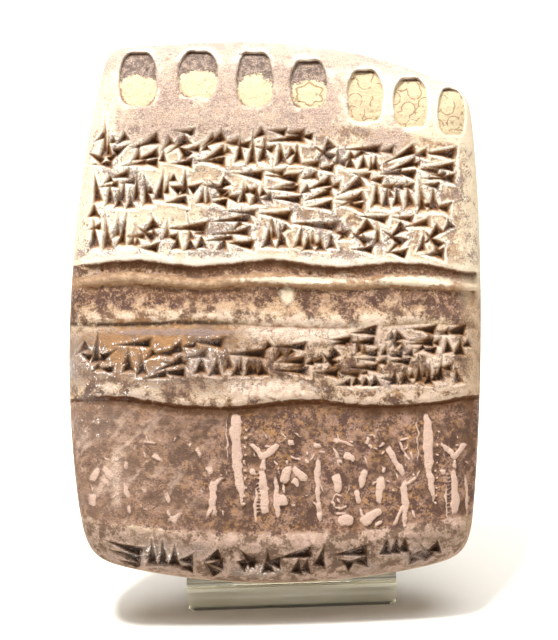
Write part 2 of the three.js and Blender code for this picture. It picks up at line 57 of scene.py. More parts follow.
# The mesh: points across and up each side, and how many triangles are kept of it
GRID, QUICK_GRID, PLAIN_GRID, TRIANGLES = (430, 560), (300, 390), (80, 100), 190000

# Its outline: corners in shares of width and height, and how far the sides bow out between them
TOP_LEFT, TOP_RIGHT = (-0.402, 0.983), (0.467, 0.898)
FOOT_RIGHT, FOOT_LEFT = (0.469, 0.053), (-0.452, 0.047)
LEFT_BOW, RIGHT_BOW, TOP_BOW, FOOT_BOW = 0.068, 0.03, 0.052, 0.048
TOP_BOW_SKEW, CORNER_POWER_TOP, CORNER_POWER_FOOT = 1.235, 30.0, 18.0

# The bands across the face: share of the height, and how deep they lie, in millimetres
BANDS = [
    (0.06, 0.0), (0.076, -0.3), (0.09, 0.1), (0.104, 0.8), (0.19, 0.95), (0.29, 1.15), (0.327, 1.4),
    (0.333, 0.2), (0.339, -0.1), (0.352, -0.2), (0.372, 0.0), (0.462, 0.0), (0.474, 0.5), (0.481, 0.0),
    (0.487, -0.15), (0.497, 0.1), (0.512, 0.75), (0.53, 1.05), (0.544, 1.35), (0.55, 0.25), (0.558, 0.2),
    (0.565, 1.0), (0.584, 1.4), (0.59, 0.05), (0.6, 0.0),
]

# How the bands' edges wander: from and to in shares of the height, then the wave's length, phase and height
WANDERS = [
    (0.31, 0.42, 39.0, 0.1, 0.95), (0.44, 0.53, 47.0, 0.55, 0.45), (0.53, 0.63, 29.0, 0.3, 0.65),
]

# Rows of strokes: share of the height, from and to across, height of the row, seed and first cluster
ROWS = [
    (0.796, -0.44, 0.44, 8.2, 11, "fan"),
    (0.722, -0.43, 0.44, 7.6, 29, "uprights"),
    (0.644, -0.44, 0.44, 8.8, 47, "uprights"),
    (0.413, -0.47, 0.17, 8.2, 61, "fan"),
    (0.444, 0.18, 0.46, 6.6, 83, "flats"),
    (0.387, 0.18, 0.46, 6.4, 97, "comb"),
]

# The clusters of a row: the width, then each stroke's place across and up, its angle and its length. Widths,
# places and lengths are in row heights.
CLUSTERS = {
    "fan": (1.0, [
        (0.5, 0.3, 90, 0.7), (0.62, 0.42, 32, 0.42), (0.38, 0.42, 150, 0.42), (0.6, 0.16, 184, 0.6),
    ]),
    "flats": (0.95, [(0.92, 0.8, 180, 0.86), (0.88, 0.48, 184, 0.8), (0.94, 0.17, 177, 0.78)]),
    "uprights": (0.95, [(0.16, 0.1, 93, 0.84), (0.47, 0.05, 90, 0.8), (0.78, 0.12, 86, 0.82)]),
    "gate": (0.92, [(0.88, 0.85, 179, 0.84), (0.26, 0.07, 91, 0.56), (0.64, 0.06, 89, 0.54)]),
    "slants": (0.84, [(0.76, 0.8, 204, 0.72), (0.8, 0.45, 198, 0.74), (0.76, 0.12, 178, 0.66)]),
    "comb": (1.1, [
        (1.06, 0.62, 180, 1.0), (0.24, 0.05, 90, 0.42), (0.54, 0.04, 90, 0.4), (0.84, 0.06, 90, 0.42),
    ]),
    "hook": (0.78, [(0.62, 0.74, 222, 0.56), (0.6, 0.28, 140, 0.52), (0.7, 0.08, 176, 0.5)]),
}
STROKE_DEPTH, STROKE_HEAD, STROKE_LIMIT, CLUSTER_GAP = 2.0, 3.1, 0.975, 0.06

# Shallower strokes crowded in between: how low the dice must fall, the angle, and the length, the lowest
# place and the spread upward in row heights. Half lie flat, some stand and a few slant.
CROWDING = [(0.5, 180, 0.8, 0.1, 0.9), (0.8, 90, 0.75, 0.0, 0.35), (1.0, 215, 0.6, 0.35, 0.6)]
CROWDING_DEPTH = 0.72 * STROKE_DEPTH

# The parts of the face that bear rows, from and to in shares of the height
WRITTEN = [(0.6, 0.845), (0.355, 0.472), (0.0, 0.075)]

# Long strokes that stand apart at the left, and the bold ones of the foot row: x, y, angle and length
LONE_STROKES = [
    (-36.2, 90.8, 90, 10.5), (-33.0, 80.4, 91, 6.4), (-30.6, 80.2, 92, 5.4), (-38.5, 78.6, 89, 4.4),
    (-36.2, 90.4, 150, 5.5), (-35.8, 90.6, 35, 5.2), (-27.7, 7.1, 161, 9.6), (-27.9, 5.4, 160, 8.8),
    (-28.6, 3.8, 158, 6.0), (-26.2, 4.4, 90, 6.5), (-23.8, 4.4, 91, 6.4), (-21.5, 4.5, 88, 5.2),
    (-17.3, 5.8, 180, 3.8), (-17.3, 4.0, 178, 3.8), (-11.5, 7.0, 200, 4.6), (-10.8, 4.9, 180, 4.6),
    (-12.3, 2.3, 132, 4.8), (-7.4, 4.3, 40, 4.4), (-4.3, 4.5, 132, 5.2), (-1.5, 3.0, 90, 6.0),
    (-4.0, 5.2, 176, 4.4), (1.3, 5.2, 178, 4.4), (8.2, 7.6, 190, 8.8), (4.6, 2.8, 80, 4.6),
    (6.4, 3.0, 78, 4.6), (9.4, 4.4, 76, 5.4), (20.0, 7.9, 187, 8.6), (20.0, 5.6, 180, 5.0),
    (16.5, 4.4, 150, 3.8), (23.6, 6.9, 86, 5.0), (25.6, 7.1, 85, 4.8), (27.4, 7.4, 84, 4.2),
    (29.9, 5.2, 120, 5.0), (32.4, 7.0, 180, 4.4), (33.2, 6.2, 128, 4.6), (35.2, 8.6, 200, 4.2),
]

# The stamps: the middle of each, in shares of width and height, and its width and height in millimetres
STAMP_DEPTH, STAMP_TAPER_TOP, STAMP_TAPER_FOOT = 1.3, 0.35, 0.12
STAMPS = [
    (-0.326, 0.92, 8.4, 12.3), (-0.183, 0.929, 8.9, 10.7), (-0.048, 0.92, 8.2, 12.5),
    (0.08, 0.911, 8.2, 10.9), (0.215, 0.89, 7.8, 11.7), (0.3225, 0.877, 7.6, 11.3),
    (0.4215, 0.8615, 6.2, 10.6),
]

# The rolled picture
PICTURE_FOOT, PICTURE_TOP, PICTURE_START, PICTURE_TURN = 0.106, 0.328, -0.094, 1.557
PICTURE_LEFT_END, PICTURE_RIGHT_END = (-0.463, -0.43), (0.475, 0.45)
FIGURE_RISE, WORN_RISE = 0.4, 0.7
LINE_WIDTH, LAST_TURN_LINE_WIDTH = 0.86, 0.68

# Small pits in the front and the back: how many, the seed, the smallest and largest, and the greatest depth
FRONT_PITS, BACK_PITS = (220, 41, (0.25, 0.9), 0.5), (60, 43, (0.3, 1.0), 0.4)

# The lights: a sun's power and angle, and the strength of the light from all round
KEY_POWER, KEY_ANGLE, OVERHEAD_POWER, OVERHEAD_ANGLE, ROOM_STRENGTH = 6.0, 0.2, 4.2, 1.3, 0.5
FLOOR_REACH = 3.0

# The camera: the photograph's size and the middle of the tablet's foot in it, in pixels, how large a pixel
# is on the tablet, and the camera's distance in metres
PHOTO_SIZE, FOOT_IN_PHOTO, MM_PER_PIXEL, DISTANCE = (558, 640), (275, 583), 0.2165, 0.6

# What the clay's finish reads at each point of the tablet: its line, whether it is on the front, what lies
# deep or faces down (the mask for painted shade), what stands out, the rolled figures, the stamps with the
# place in each, and the parts that bear rows
FACTS = ("line", "front", "hollow", "ridge", "figure", "stamp", "stamp_across", "stamp_up", "written")


def bow(t):
    """0 at both ends and 1 in the middle."""
    return 4 * t * (1 - t)


def smooth(low, high, value):
    """0 at low, 1 at high and a smooth step between them, whichever is larger."""
    t = np.clip((value - low) / (high - low), 0, 1)
    return t * t * (3 - 2 * t)


def left_side(share):
    """The outline's left side: a straight line that bows out in the middle."""
    return (FOOT_LEFT[0] + (TOP_LEFT[0] - FOOT_LEFT[0]) * share - LEFT_BOW * bow(share)) * WIDTH


def right_side(share):
    """The outline's right side, in the same way."""
    return (FOOT_RIGHT[0] + (TOP_RIGHT[0] - FOOT_RIGHT[0]) * share + RIGHT_BOW * bow(share)) * WIDTH


def end_line(left, right, bulge, skew, x):
    """Height of the outline's top or foot, from its left corner to its right one."""
    t = np.clip((x / WIDTH - left[0]) / (right[0] - left[0]), 0, 1)
    return (left[1] + (right[1] - left[1]) * t + bulge * bow(t**skew)) * HEIGHT


def line_height(share, x):
    """Height of a line at a share of the face: it follows the foot's slope low down and the top's high up."""
    rise = end_line(FOOT_LEFT, FOOT_RIGHT, -FOOT_BOW, 1, x) * (1 - share) ** 4
    drop = (end_line(TOP_LEFT, TOP_RIGHT, TOP_BOW, TOP_BOW_SKEW, x) - HEIGHT) * share**4
    return share * HEIGHT + rise + drop


def share_of(x, y):
    """The share of the face whose line runs through a point, found by walking towards it."""
    share = y / HEIGHT
    for _ in range(12):
        share = share + (y - line_height(share, x)) / HEIGHT
    return share


def level_of(u, v):
    """1 on the outline and less inside it, a square with rounded corners: (|u|^p + |v|^p)^(1/p)."""
    power = np.where(v > 0, CORNER_POWER_TOP, CORNER_POWER_FOOT)
    return (np.abs(u) ** power + np.abs(v) ** power) ** (1 / power)


def across_face(x, share):
    """-1 on the left side of the outline and 1 on the right."""
    return 2 * (x - left_side(share)) / (right_side(share) - left_side(share)) - 1


def swell(level):
    """1 over most of the face, and 0 on the outline: sqrt(1 - level^10)."""
    return np.sqrt(np.clip(1 - np.minimum(level, 1) ** 10, 0, 1))


def cloud(x, y, size, seed):
    """Soft noise from -1 to 1: seeded values on a lattice, size millimetres apart, joined by smooth steps."""
    lattice = np.random.default_rng(seed).uniform(-1, 1, (128, 128))
    a, b = x / size + 51.3, y / size + 47.7
    i, j = np.floor(a).astype(int), np.floor(b).astype(int)
    s, t = smooth(0, 1, a - i), smooth(0, 1, b - j)

    def corner(right, up):
        return lattice[(i + right) % 128, (j + up) % 128]

    low = corner(0, 0) * (1 - s) + corner(1, 0) * s
    high = corner(0, 1) * (1 - s) + corner(1, 1) * s
    return low * (1 - t) + high * t


def clouds(x, y, size, seed, layers=3):
    """Several layers of cloud, each half the size and a little over half the strength of the one before."""
    total = sum(0.55**k * cloud(x, y, size / 2**k, seed + 7 * k) for k in range(layers))
    return total / sum(0.55**k for k in range(layers))


def wander(share, x):
    """How far the bands' edges wander up and down."""
    rise = 0
    for low, high, length, phase, height in WANDERS:
        fade = np.clip(1 - np.abs(share - (low + high) / 2) / ((high - low) / 2), 0, 1)
        rise = rise + height * np.minimum(1, 2 * fade) * np.sin(2 * np.pi * (x / length + phase))
    return rise


def dice(seed):
    """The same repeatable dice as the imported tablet's strokes use."""
    state = seed
    while True:
        state = state * 16807 % 2147483647
        yield state / 2147483647


def on_face(x, y, angle, length):
    """Whether a stroke's head and tail both lie inside the rim."""
    for px, py in ((x, y), (x + length * math.cos(angle), y + length * math.sin(angle))):
        share = share_of(px, py)
        if level_of(across_face(px, share), 2 * share - 1) >= STROKE_LIMIT:
            return False
    return True


def row_strokes(share, start, end, tall, seed, kind):
    """The strokes of one row, as (x, y, angle, length, head, depth), cluster after cluster."""
    roll, kinds, across = dice(seed), list(CLUSTERS), start * WIDTH
    while across + CLUSTERS[kind][0] * tall < end * WIDTH:
        wide, strokes = CLUSTERS[kind]
        for right, up, turn, long in strokes:
            x = across + (right + 0.08 * (next(roll) - 0.5)) * tall
            y = line_height(share, x) + (up - 0.5 + 0.08 * (next(roll) - 0.5)) * tall
            angle = math.radians(turn + 14 * (next(roll) - 0.5))
            length = long * tall * (1.14 + 0.28 * next(roll))
            head = STROKE_HEAD * (0.85 + 0.3 * next(roll))
            if on_face(x, y, angle, length):
                yield float(x), float(y), angle, length, head, STROKE_DEPTH
        across += (wide + CLUSTER_GAP) * tall
        kind = kinds[int(next(roll) * len(kinds))]


def crowding_strokes(share, start, end, tall, seed):
    """The shallower strokes crowded in between a row's clusters, in the same form as row_strokes."""
    roll, across = dice(seed + 5), start * WIDTH
    while across < end * WIDTH:
        pick = next(roll)
        turn, long, low, reach = next(kind[1:] for kind in CROWDING if pick < kind[0])
        x = across + 0.1 * tall * next(roll)
        up = low + reach * next(roll)
        y = line_height(share, x) + (up - 0.5) * tall
        angle = math.radians(turn + 24 * (next(roll) - 0.5))
        length = long * tall * (0.6 + 0.5 * next(roll))
        head = STROKE_HEAD * (0.7 + 0.35 * next(roll))
        if on_face(x, y, angle, length):
            yield float(x), float(y), angle, length, head, CROWDING_DEPTH
        across += tall * (0.18 + 0.2 * next(roll))


def stroke_relief(x, y, strokes):
    """Depth of all the strokes, and how far the clay squeezed up beside them.

    A stroke is a pit whose floor falls in three flats from its rim to one point. Its nearness is 0 on the
    rim, 1 at the deepest point and negative outside, and the squeezed clay is a narrow hump round the rim:
    exp(-((nearness + 0.22) / 0.2)^2).
    """
    deep, squeezed = np.zeros_like(x), np.zeros_like(x)
    for cx, cy, angle, length, head, depth in strokes:
        rows = np.flatnonzero(np.abs(y - cy).min(axis=1) < length + head)
        if not len(rows):
            continue
        part = slice(rows[0], rows[-1] + 1)
        dx, dy = x[part] - cx, y[part] - cy
        along = dx * math.cos(angle) + dy * math.sin(angle)
        aside = np.abs(dy * math.cos(angle) - dx * math.sin(angle))
        pit, half = 0.2 * length, head / 2 * np.clip(1 - along / length, 0, 1.3) ** 1.3
        near_side = (half - aside) / (head / 2 * 0.8**1.3)
        near = np.minimum(along / pit, near_side)
        deep[part] = np.maximum(deep[part], depth * np.clip(near, 0, None))
        hump = np.exp(-(((near + 0.22) / 0.2) ** 2)) * (along < length)
        squeezed[part] = np.maximum(squeezed[part], hump)
    return deep, squeezed * (deep == 0)


def stamp_relief(x, y):
    """Depth of the stamps, how far each point is inside one, and its place across and up in the nearest one.

    A stamp is a rounded box that narrows to its top, with a steep wall: its edge is where
    |side / (1 - taper)|^5 + |up|^5 = 1. Its floor is deepest at the top, and bears a soft rosette.
    """
    deep, inside = np.zeros_like(x), np.zeros_like(x)
    across, up_in, nearest = np.zeros_like(x), np.zeros_like(x), np.full_like(x, 1e9)
    for middle, rise, wide, tall in STAMPS:
        up = (y - rise * HEIGHT) / (tall / 2)
        taper = np.where(up > 0, STAMP_TAPER_TOP, STAMP_TAPER_FOOT) * np.clip(up, -1, 1) ** 2
        side = (x - middle * WIDTH) / (wide / 2)
        edge = (np.abs(side / (1 - taper)) ** 5 + np.abs(up) ** 5) ** 0.2 + 0.04 * cloud(x, y, 1.6, 5)
        wall = smooth(1.03, 0.9, edge)
        far = np.hypot(side, (up + 0.3) * 1.2)
        rosette = np.exp(-(((far - 0.62 - 0.1 * np.cos(6 * np.arctan2(up + 0.3, side))) / 0.08) ** 2))
        floor = STAMP_DEPTH * (0.72 + 0.42 * np.clip(up, -1, 1))
        floor = floor - 0.12 * rosette - 0.2 * smooth(0.6, 0, far)
        deep, inside = np.maximum(deep, wall * floor), np.maximum(inside, wall)
        closer = np.abs(side) < nearest
        nearest = np.where(closer, np.abs(side), nearest)
        across, up_in = np.where(closer, side, across), np.where(closer, up, up_in)
    return deep, inside, np.clip(across, -1.5, 1.5), np.clip(up_in, -2, 2)


def picture_turn():
    """One turn of the seal: strokes (x0, y0, x1, y1, half width at each end), in picture heights."""

    def line(x0, y0, x1, y1, half0, half1=None):
        return (x0, y0, x1, y1, half0, half0 if half1 is None else half1)

    def dot(x, y, half):
        return line(x - 0.4 * half, y, x + 0.4 * half, y, half)

    pillar = [
        line(0, 0.92, 0.02, 0.45, 0.055, 0.05), line(0.02, 0.45, 0.06, 0.2, 0.05, 0.012),
        line(-0.075, 0.94, -0.07, 0.5, 0.009),
    ]
    beads = [dot(0.09 - 0.002 * k, 0.8 - 0.065 * k, 0.014) for k in range(10)]
    robed = [
        line(-0.1, 0.69, 0, 0.58, 0.022, 0.036), line(0, 0.58, 0.1, 0.69, 0.036, 0.03),
        line(-0.01, 0.47, 0.01, 0.14, 0.035, 0.045), line(0.09, 0.44, 0.12, 0.1, 0.02, 0.03),
        line(-0.07, 0.36, -0.06, 0.06, 0.014), dot(-0.09, 0.46, 0.028),
        line(0.01, 0.56, 0.0, 0.5, 0.02, 0.03),
    ]
    ladder = [line(-0.075, 0.44 - 0.03 * k, -0.02, 0.445 - 0.03 * k, 0.007) for k in range(11)]
    jar = [line(0.02, 0.5, -0.02, 0.4, 0.03, 0.045), dot(-0.04, 0.24, 0.06), dot(0.05, 0.71, 0.03)]
    beast = [
        line(-0.02, 0.5, 0.06, 0.42, 0.025, 0.045), line(-0.02, 0.4, 0.03, 0.36, 0.03, 0.018),
        dot(0.1, 0.62, 0.014), dot(0.1, 0.56, 0.02), line(-0.04, 0.6, 0.03, 0.56, 0.01, 0.016),
    ]
    spear = [
        dot(0, 0.68, 0.032), line(0, 0.56, 0, 0.22, 0.034, 0.026), line(0, 0.22, 0.02, 0.05, 0.036, 0.012),
    ]
    seated = [
        line(0, 0.73, 0.17, 0.68, 0.018, 0.012), line(0.11, 0.6, 0.17, 0.56, 0.034, 0.02),
        line(0.02, 0.43, 0.04, 0.3, 0.042, 0.03),
        line(0.06, 0.08, 0.16, 0.07, 0.045, 0.05), line(0.0, 0.66, 0.05, 0.58, 0.01, 0.022),
        dot(0.06, 0.55, 0.02),
        line(0.13, 0.36, 0.12, 0.27, 0.008), line(0.02, 0.14, 0.12, 0.12, 0.012), dot(0.05, 0.23, 0.014),
    ]
    turns = [(0.05 + 0.055 * math.cos(k), 0.22 + 0.055 * math.sin(k)) for k in range(1, 7)]
    seated += [line(*first, *second, 0.012) for first, second in zip(turns, turns[1:])]
    vessel = [
        line(0.01, 0.46, -0.02, 0.34, 0.045, 0.025), line(0.15, 0.42, 0.12, 0.22, 0.045, 0.03),
        line(-0.06, 0.31, -0.03, 0.22, 0.03), line(0, 0.06, 0.12, 0.14, 0.055, 0.045),
        line(0.04, 0.7, 0.06, 0.66, 0.014), line(0.14, 0.68, 0.17, 0.7, 0.014),
        line(0.17, 0.5, 0.17, 0.47, 0.016),
        line(-0.03, 0.16, -0.02, 0.1, 0.012), line(0.1, 0.03, 0.15, 0.05, 0.02),
    ]
    walker = [
        line(-0.1, 0.66, 0.02, 0.46, 0.032, 0.035), line(-0.01, 0.72, 0.07, 0.57, 0.014),
        line(0.03, 0.4, 0.03, 0.2, 0.026, 0.045), line(0, 0.34, 0.12, 0.42, 0.018),
        line(0.04, 0.2, 0.03, 0.02, 0.03, 0.02), line(0.02, 0.2, -0.06, 0.03, 0.024, 0.014),
        line(-0.01, 0.73, 0.06, 0.74, 0.01), line(0.1, 0.16, 0.12, 0.1, 0.014), dot(0.1, 0.44, 0.014),
    ]
    # Small marks scattered between the figures
    roll = dice(211)
    marks = []
    for _ in range(46):
        x, y = 0.14 + 1.36 * next(roll), 0.08 + 0.72 * next(roll)
        far, turn = 0.02 + 0.05 * next(roll), 6.3 * next(roll)
        half = 0.005 + 0.008 * next(roll)
        marks.append(line(x, y, x + far * math.cos(turn), y + far * math.sin(turn), half))
    placed = [
        (0, pillar + beads), (0.23, robed + ladder), (0.41, jar), (0.49, beast), (0.67, spear),
        (0.79, seated), (1.04, vessel), (1.345, walker), (0, marks),
    ]
    return [(x0 + at, y0, x1 + at, y1, a, b) for at, shapes in placed for x0, y0, x1, y1, a, b in shapes]


def picture_rise(x, y):
    """How far the rolled picture stands out, from 0 to 1.

    Each line has a flat top, and its edge is where ahead^4 + aside^4 = 1, so that its ends are rounded. It
    widens from one end to the other. The seal was rolled faintly at the left, so that turn is worn.
    """
    tall = (PICTURE_TOP - PICTURE_FOOT) * HEIGHT
    px = (x - PICTURE_START * WIDTH) / tall + 0.022 * clouds(x, y, 1.9, 21)
    py = (y - PICTURE_FOOT * HEIGHT) / tall + 0.022 * clouds(x, y, 1.9, 22)
    rows = np.flatnonzero((py.max(axis=1) > -0.05) & (py.min(axis=1) < 1.05))
    part = slice(rows[0], rows[-1] + 1)
    px, py, rise = px[part], py[part], np.zeros_like(x)
    found = np.zeros_like(px)
    broken = smooth(-0.3, 0.25, clouds(x[part], y[part], 4.0, 24))
    for turn in (-1, 0, 1):
        worn = WORN_RISE * broken if turn < 0 else 1.0
        wide = LAST_TURN_LINE_WIDTH if turn > 0 else LINE_WIDTH
        for x0, y0, x1, y1, half0, half1 in picture_turn():
            ax, dx, dy = x0 + turn * PICTURE_TURN, x1 - x0, y1 - y0
            length = math.hypot(dx, dy)
            t = ((px - ax) * dx + (py - y0) * dy) / length**2
            half = (half0 + (half1 - half0) * np.clip(t, 0, 1)) * wide
            ahead = (t - 0.5) * length / (0.5 * length + 0.6 * half)
            aside = ((px - ax) * dy - (py - y0) * dx) / length / half
            outside = ((ahead**4 + aside**4) ** 0.25 - 1) * half
            found = np.maximum(found, worn * smooth(0.006, -0.01, outside))
    rise[part] = found
    return rise * smooth(*PICTURE_LEFT_END, x / WIDTH) * smooth(*PICTURE_RIGHT_END, x / WIDTH)


def pits(x, y, count, seed, sizes, depth):
    """Small round pits at seeded places: depth * exp(-2 * (distance / size)^2)."""
    roll = np.random.default_rng(seed)
    deep = np.zeros_like(x)
    for _ in range(count):
        cx, cy = roll.uniform(-45, 45), roll.uniform(2, 116)
        size, deepest, flat = roll.uniform(*sizes), roll.uniform(0.4, 1) * depth, roll.uniform(0.7, 1.4)
        rows = np.flatnonzero(np.abs(y - cy).min(axis=1) < 2 * size)
        if not len(rows):
            continue
        part = slice(rows[0], rows[-1] + 1)
        far = ((x[part] - cx) ** 2 + ((y[part] - cy) * flat) ** 2) / size**2
        deep[part] = np.maximum(deep[part], deepest * np.exp(-far * 2))
    return deep


def softened(field, far):
    """The field averaged over a square window that reaches far millimetres each way."""
    reach = max(1, round(far / WIDTH * field.shape[1]))
    for axis in (0, 1):
        padded = np.concatenate([np.repeat(field.take([0], axis), reach + 1, axis), field,
                                 np.repeat(field.take([-1], axis), reach, axis)], axis)
        total = np.cumsum(padded, axis)
        span = 2 * reach + 1
        n = field.shape[axis]
        field = (total.take(range(span, span + n), axis) - total.take(range(n), axis)) / span
    return field


def spread(count):
    """Values from -1 to 1 that stand closer together near both ends."""
    even = np.linspace(-1, 1, count)
    return np.sign(even) * (1 - (1 - np.abs(even)) ** 1.12)


def pillow(columns, rows, side):
    """The uncarved tablet's front or back: u across and v up, both from -1 to 1, pulled in to the rounded
    outline, with the swell of that side over it. Returns x, y, z, the level and the share at each point."""
    u, v = np.meshgrid(spread(columns), spread(rows))
    reach = np.maximum(np.maximum(np.abs(u), np.abs(v)), 1e-9)
    pull = 1 - (1 - 1 / level_of(u / reach, v / reach)) * reach**6
    u, v = u * pull, v * pull
    level, share = level_of(u, v), (v + 1) / 2
    x = left_side(share) + (right_side(share) - left_side(share)) * (u + 1) / 2
    y = line_height(share, x)
    depth = (FRONT_SWELL if side > 0 else BACK_SWELL) - EDGE_LAND / 2
    return x, y, side * (EDGE_LAND / 2 + depth * swell(level)), level, share


def carve_front(x, y, level, share):
    """The written face's relief, in millimetres, and the facts for its finish."""
    inner = smooth(1.0, 0.965, level)
    ragged = 0.3 * clouds(x, y, 5, 3) + 0.14 * clouds(x, y, 1.5, 9)
    line = share - (wander(share, x) + ragged) / HEIGHT
    sides = smooth(-1.0, -0.88, across_face(x, share)) * smooth(1.0, 0.95, across_face(x, share))
    bands = -np.interp(line, *zip(*BANDS)) * sides * (1 + 0.3 * clouds(x, y, 12, 61))
    strokes = [stroke for row in ROWS for stroke in (*row_strokes(*row), *crowding_strokes(*row[:-1]))]
    for across, up, turn, long in LONE_STROKES:
        strokes.append((across, up, math.radians(turn), long, STROKE_HEAD, STROKE_DEPTH))
    pressed, squeezed = stroke_relief(x, y, strokes)
    stamps, stamp, stamp_across, stamp_up = stamp_relief(x, y)
    figure = picture_rise(x, y)
    lumps = 0.14 * clouds(x, y, 9, 29) + 0.1 * clouds(x, y, 3.2, 31) + 0.05 * cloud(x, y, 0.7, 35)
    chips = pits(x, y, *FRONT_PITS)
    pressed = pressed * (1 + 0.2 * clouds(x, y, 4, 37))
    relief = bands - stamps - pressed + 0.2 * squeezed + FIGURE_RISE * figure - chips + lumps
    relief = relief * inner

    near, broad = softened(relief, 0.7), softened(relief, 3.4)
    # How steeply the relief rises up the face: walls that face down, away from the light, where shade is
    # painted
    under = np.clip(np.gradient(relief, axis=0) / np.gradient(y, axis=0), 0, 1.5)
    written = np.zeros_like(x)
    for low, high in WRITTEN:
        inside = smooth(low - 0.006, low + 0.006, line) * smooth(high + 0.006, high - 0.006, line)
        written = np.maximum(written, inside)
    facts = {
        "line": line,
        "front": smooth(1.0, 0.985, level),
        # Deep places and walls facing down: the mask for dirt and for the shade painted into the clay's
        # colour
        "hollow": np.clip((broad - relief) / 1.1 + 0.35 * under, 0, 1),
        "ridge": np.clip((relief - near) / 0.2, 0, 1) + np.clip((relief - broad) / 0.8, 0, 1),
        "figure": figure,
        "stamp": stamp,
        "stamp_across": stamp_across,
        "stamp_up": stamp_up,
        "written": written * inner,
    }
    return relief, facts


def as_points(x, y, z):
    """The points of a sheet, one to a row."""
    return np.stack([x, y, z], -1).reshape(-1, 3)


def rim(sheet):
    """The numbers of a sheet's outermost points, once round."""
    return np.concatenate([sheet[0, :-1], sheet[:-1, -1], sheet[-1, :0:-1], sheet[:0:-1, 0]])


def make_tablet():
    """Front and back sheets joined by a wall round their rims, and the facts at each point."""
    columns, rows = GRID
    x, y, z, level, share = pillow(columns, rows, 1)
    relief, facts = carve_front(x, y, level, share)
    bx, by, bz, blevel, bshare = pillow(columns, rows, -1)
    chips = pits(bx, by, *BACK_PITS)
    lumps = 0.16 * clouds(bx, by, 7, 51) + 0.05 * cloud(bx, by, 0.8, 55)
    bz = bz + (chips - lumps) * smooth(1.0, 0.97, blevel)

    front = np.arange(rows * columns).reshape(rows, columns)
    back = front + rows * columns
    outer, inner = rim(front), rim(back)
    faces = np.concatenate([
        np.stack([front[:-1, :-1], front[:-1, 1:], front[1:, 1:], front[1:, :-1]], -1).reshape(-1, 4),
        np.stack([back[:-1, :-1], back[1:, :-1], back[1:, 1:], back[:-1, 1:]], -1).reshape(-1, 4),
        np.stack([outer, inner, np.roll(inner, -1), np.roll(outer, -1)], -1),
    ])
    points = np.concatenate([as_points(x, y, z + relief), as_points(bx, by, bz)])
    behind = {name: np.zeros_like(bx) for name in FACTS} | {"line": 0.35 + 0.3 * bshare}
    facts = {name: np.concatenate([facts[name].ravel(), behind[name].ravel()]) for name in FACTS}
    return points, faces, facts


def leant(points):
    """Rolls the flat tablet a little clockwise and leans it back."""
    return points @ np.array(TURN).T


def mesh_object(name, points, faces):
    """A smoothly shaded mesh, as an object in the scene."""
    mesh = bpy.data.meshes.new(name)
    mesh.from_pydata(points, [], faces.tolist())
    mesh.polygons.foreach_set("use_smooth", np.ones(len(mesh.polygons), dtype=bool))
    mesh.update()
    piece = bpy.data.objects.new(name, mesh)
    bpy.context.scene.collection.objects.link(piece)
    return piece


class Shade:
    """One output in a material's nodes, which adds and multiplies as a number does."""

    def __init__(self, tree, socket):
        self.tree, self.socket = tree, socket

    def node(self, kind, output=0, settings=None, **inputs):
        """Adds a node beside this one, sets it up, links its inputs and returns one of its outputs."""
        made = self.tree.nodes.new("ShaderNode" + kind)
        for name, value in (settings or {}).items():
            setattr(made, name, value)
        for name, value in inputs.items():
            numbered = name[1:].isdigit()
            socket = made.inputs[int(name[1:]) if numbered else name.replace("_", " ")]
            if isinstance(value, Shade):
                self.tree.links.new(value.socket, socket)
            else:
                socket.default_value = value
        return Shade(self.tree, made.outputs[output])

    def feed(self, socket):
        self.tree.links.new(self.socket, socket)

    def math(self, operation, first, second=0.0):
        return self.node("Math", settings={"operation": operation}, _0=first, _1=second)

    def __add__(self, other):
        return self.math("ADD", self, other)

    def __sub__(self, other):
        return self.math("SUBTRACT", self, other)

    def __rsub__(self, other):
        return self.math("SUBTRACT", other, self)

    def __mul__(self, other):
        return self.math("MULTIPLY", self, other)

    def __abs__(self):
        return self.math("ABSOLUTE", self)

    __radd__, __rmul__ = __add__, __mul__

    def step(self, low, high):
        """0 at low, 1 at high and a smooth step between them."""
        settings = {"interpolation_type": "SMOOTHSTEP"}
        return self.node("MapRange", settings=settings, Value=self, From_Min=low, From_Max=high)

    def between(self, low, high, soft):
        """1 between low and high, and 0 outside."""
        return self.step(low - soft, low + soft) * (1 - self.step(high - soft, high + soft))

    def colour(self, name):
        """One of the named colours."""
        made = self.node("RGB")
        made.socket.default_value = (*TONES[name], 1)
        return made

    def tint(self, other, share):
        """This colour, painted over as far as share says with another, which may be the name of one."""
        other = (*TONES[other], 1) if isinstance(other, str) else other
        return self.node("Mix", 2, {"data_type": "RGBA"}, _0=share, _6=self, _7=other)

    def vector(self, operation, other):
        """This vector with another added, subtracted or multiplied, part by part."""
        return self.node("VectorMath", settings={"operation": operation}, _0=self, _1=other)

    def length(self):
        return self.node("VectorMath", 1, {"operation": "LENGTH"}, _0=self)

    def part(self, number):
        """The vector's x, y or z: 0, 1 or 2."""
        return self.node("SeparateXYZ", number, Vector=self)

    def noise(self, size, detail=3.0, roughness=0.6):
        """Noise over these coordinates, of a grain size in their own unit."""
        return self.node("TexNoise", Vector=self, Scale=1 / size, Detail=detail, Roughness=roughness)

    def distance(self, place, reach):
        """Distance from a place on these coordinates, where reach is 1."""
        away = self.vector("SUBTRACT", (*place, 0))
        return away.vector("MULTIPLY", (1 / reach[0], 1 / reach[1], 0)).length()


def new_material(name):
    """A material, its surface shader, and its object coordinates as a Shade."""
    made = bpy.data.materials.new(name)
    made.use_nodes = True
    tree = made.node_tree
    place = Shade(tree, tree.nodes.new("ShaderNodeTexCoord").outputs["Object"])
    return made, tree.nodes["Principled BSDF"], place


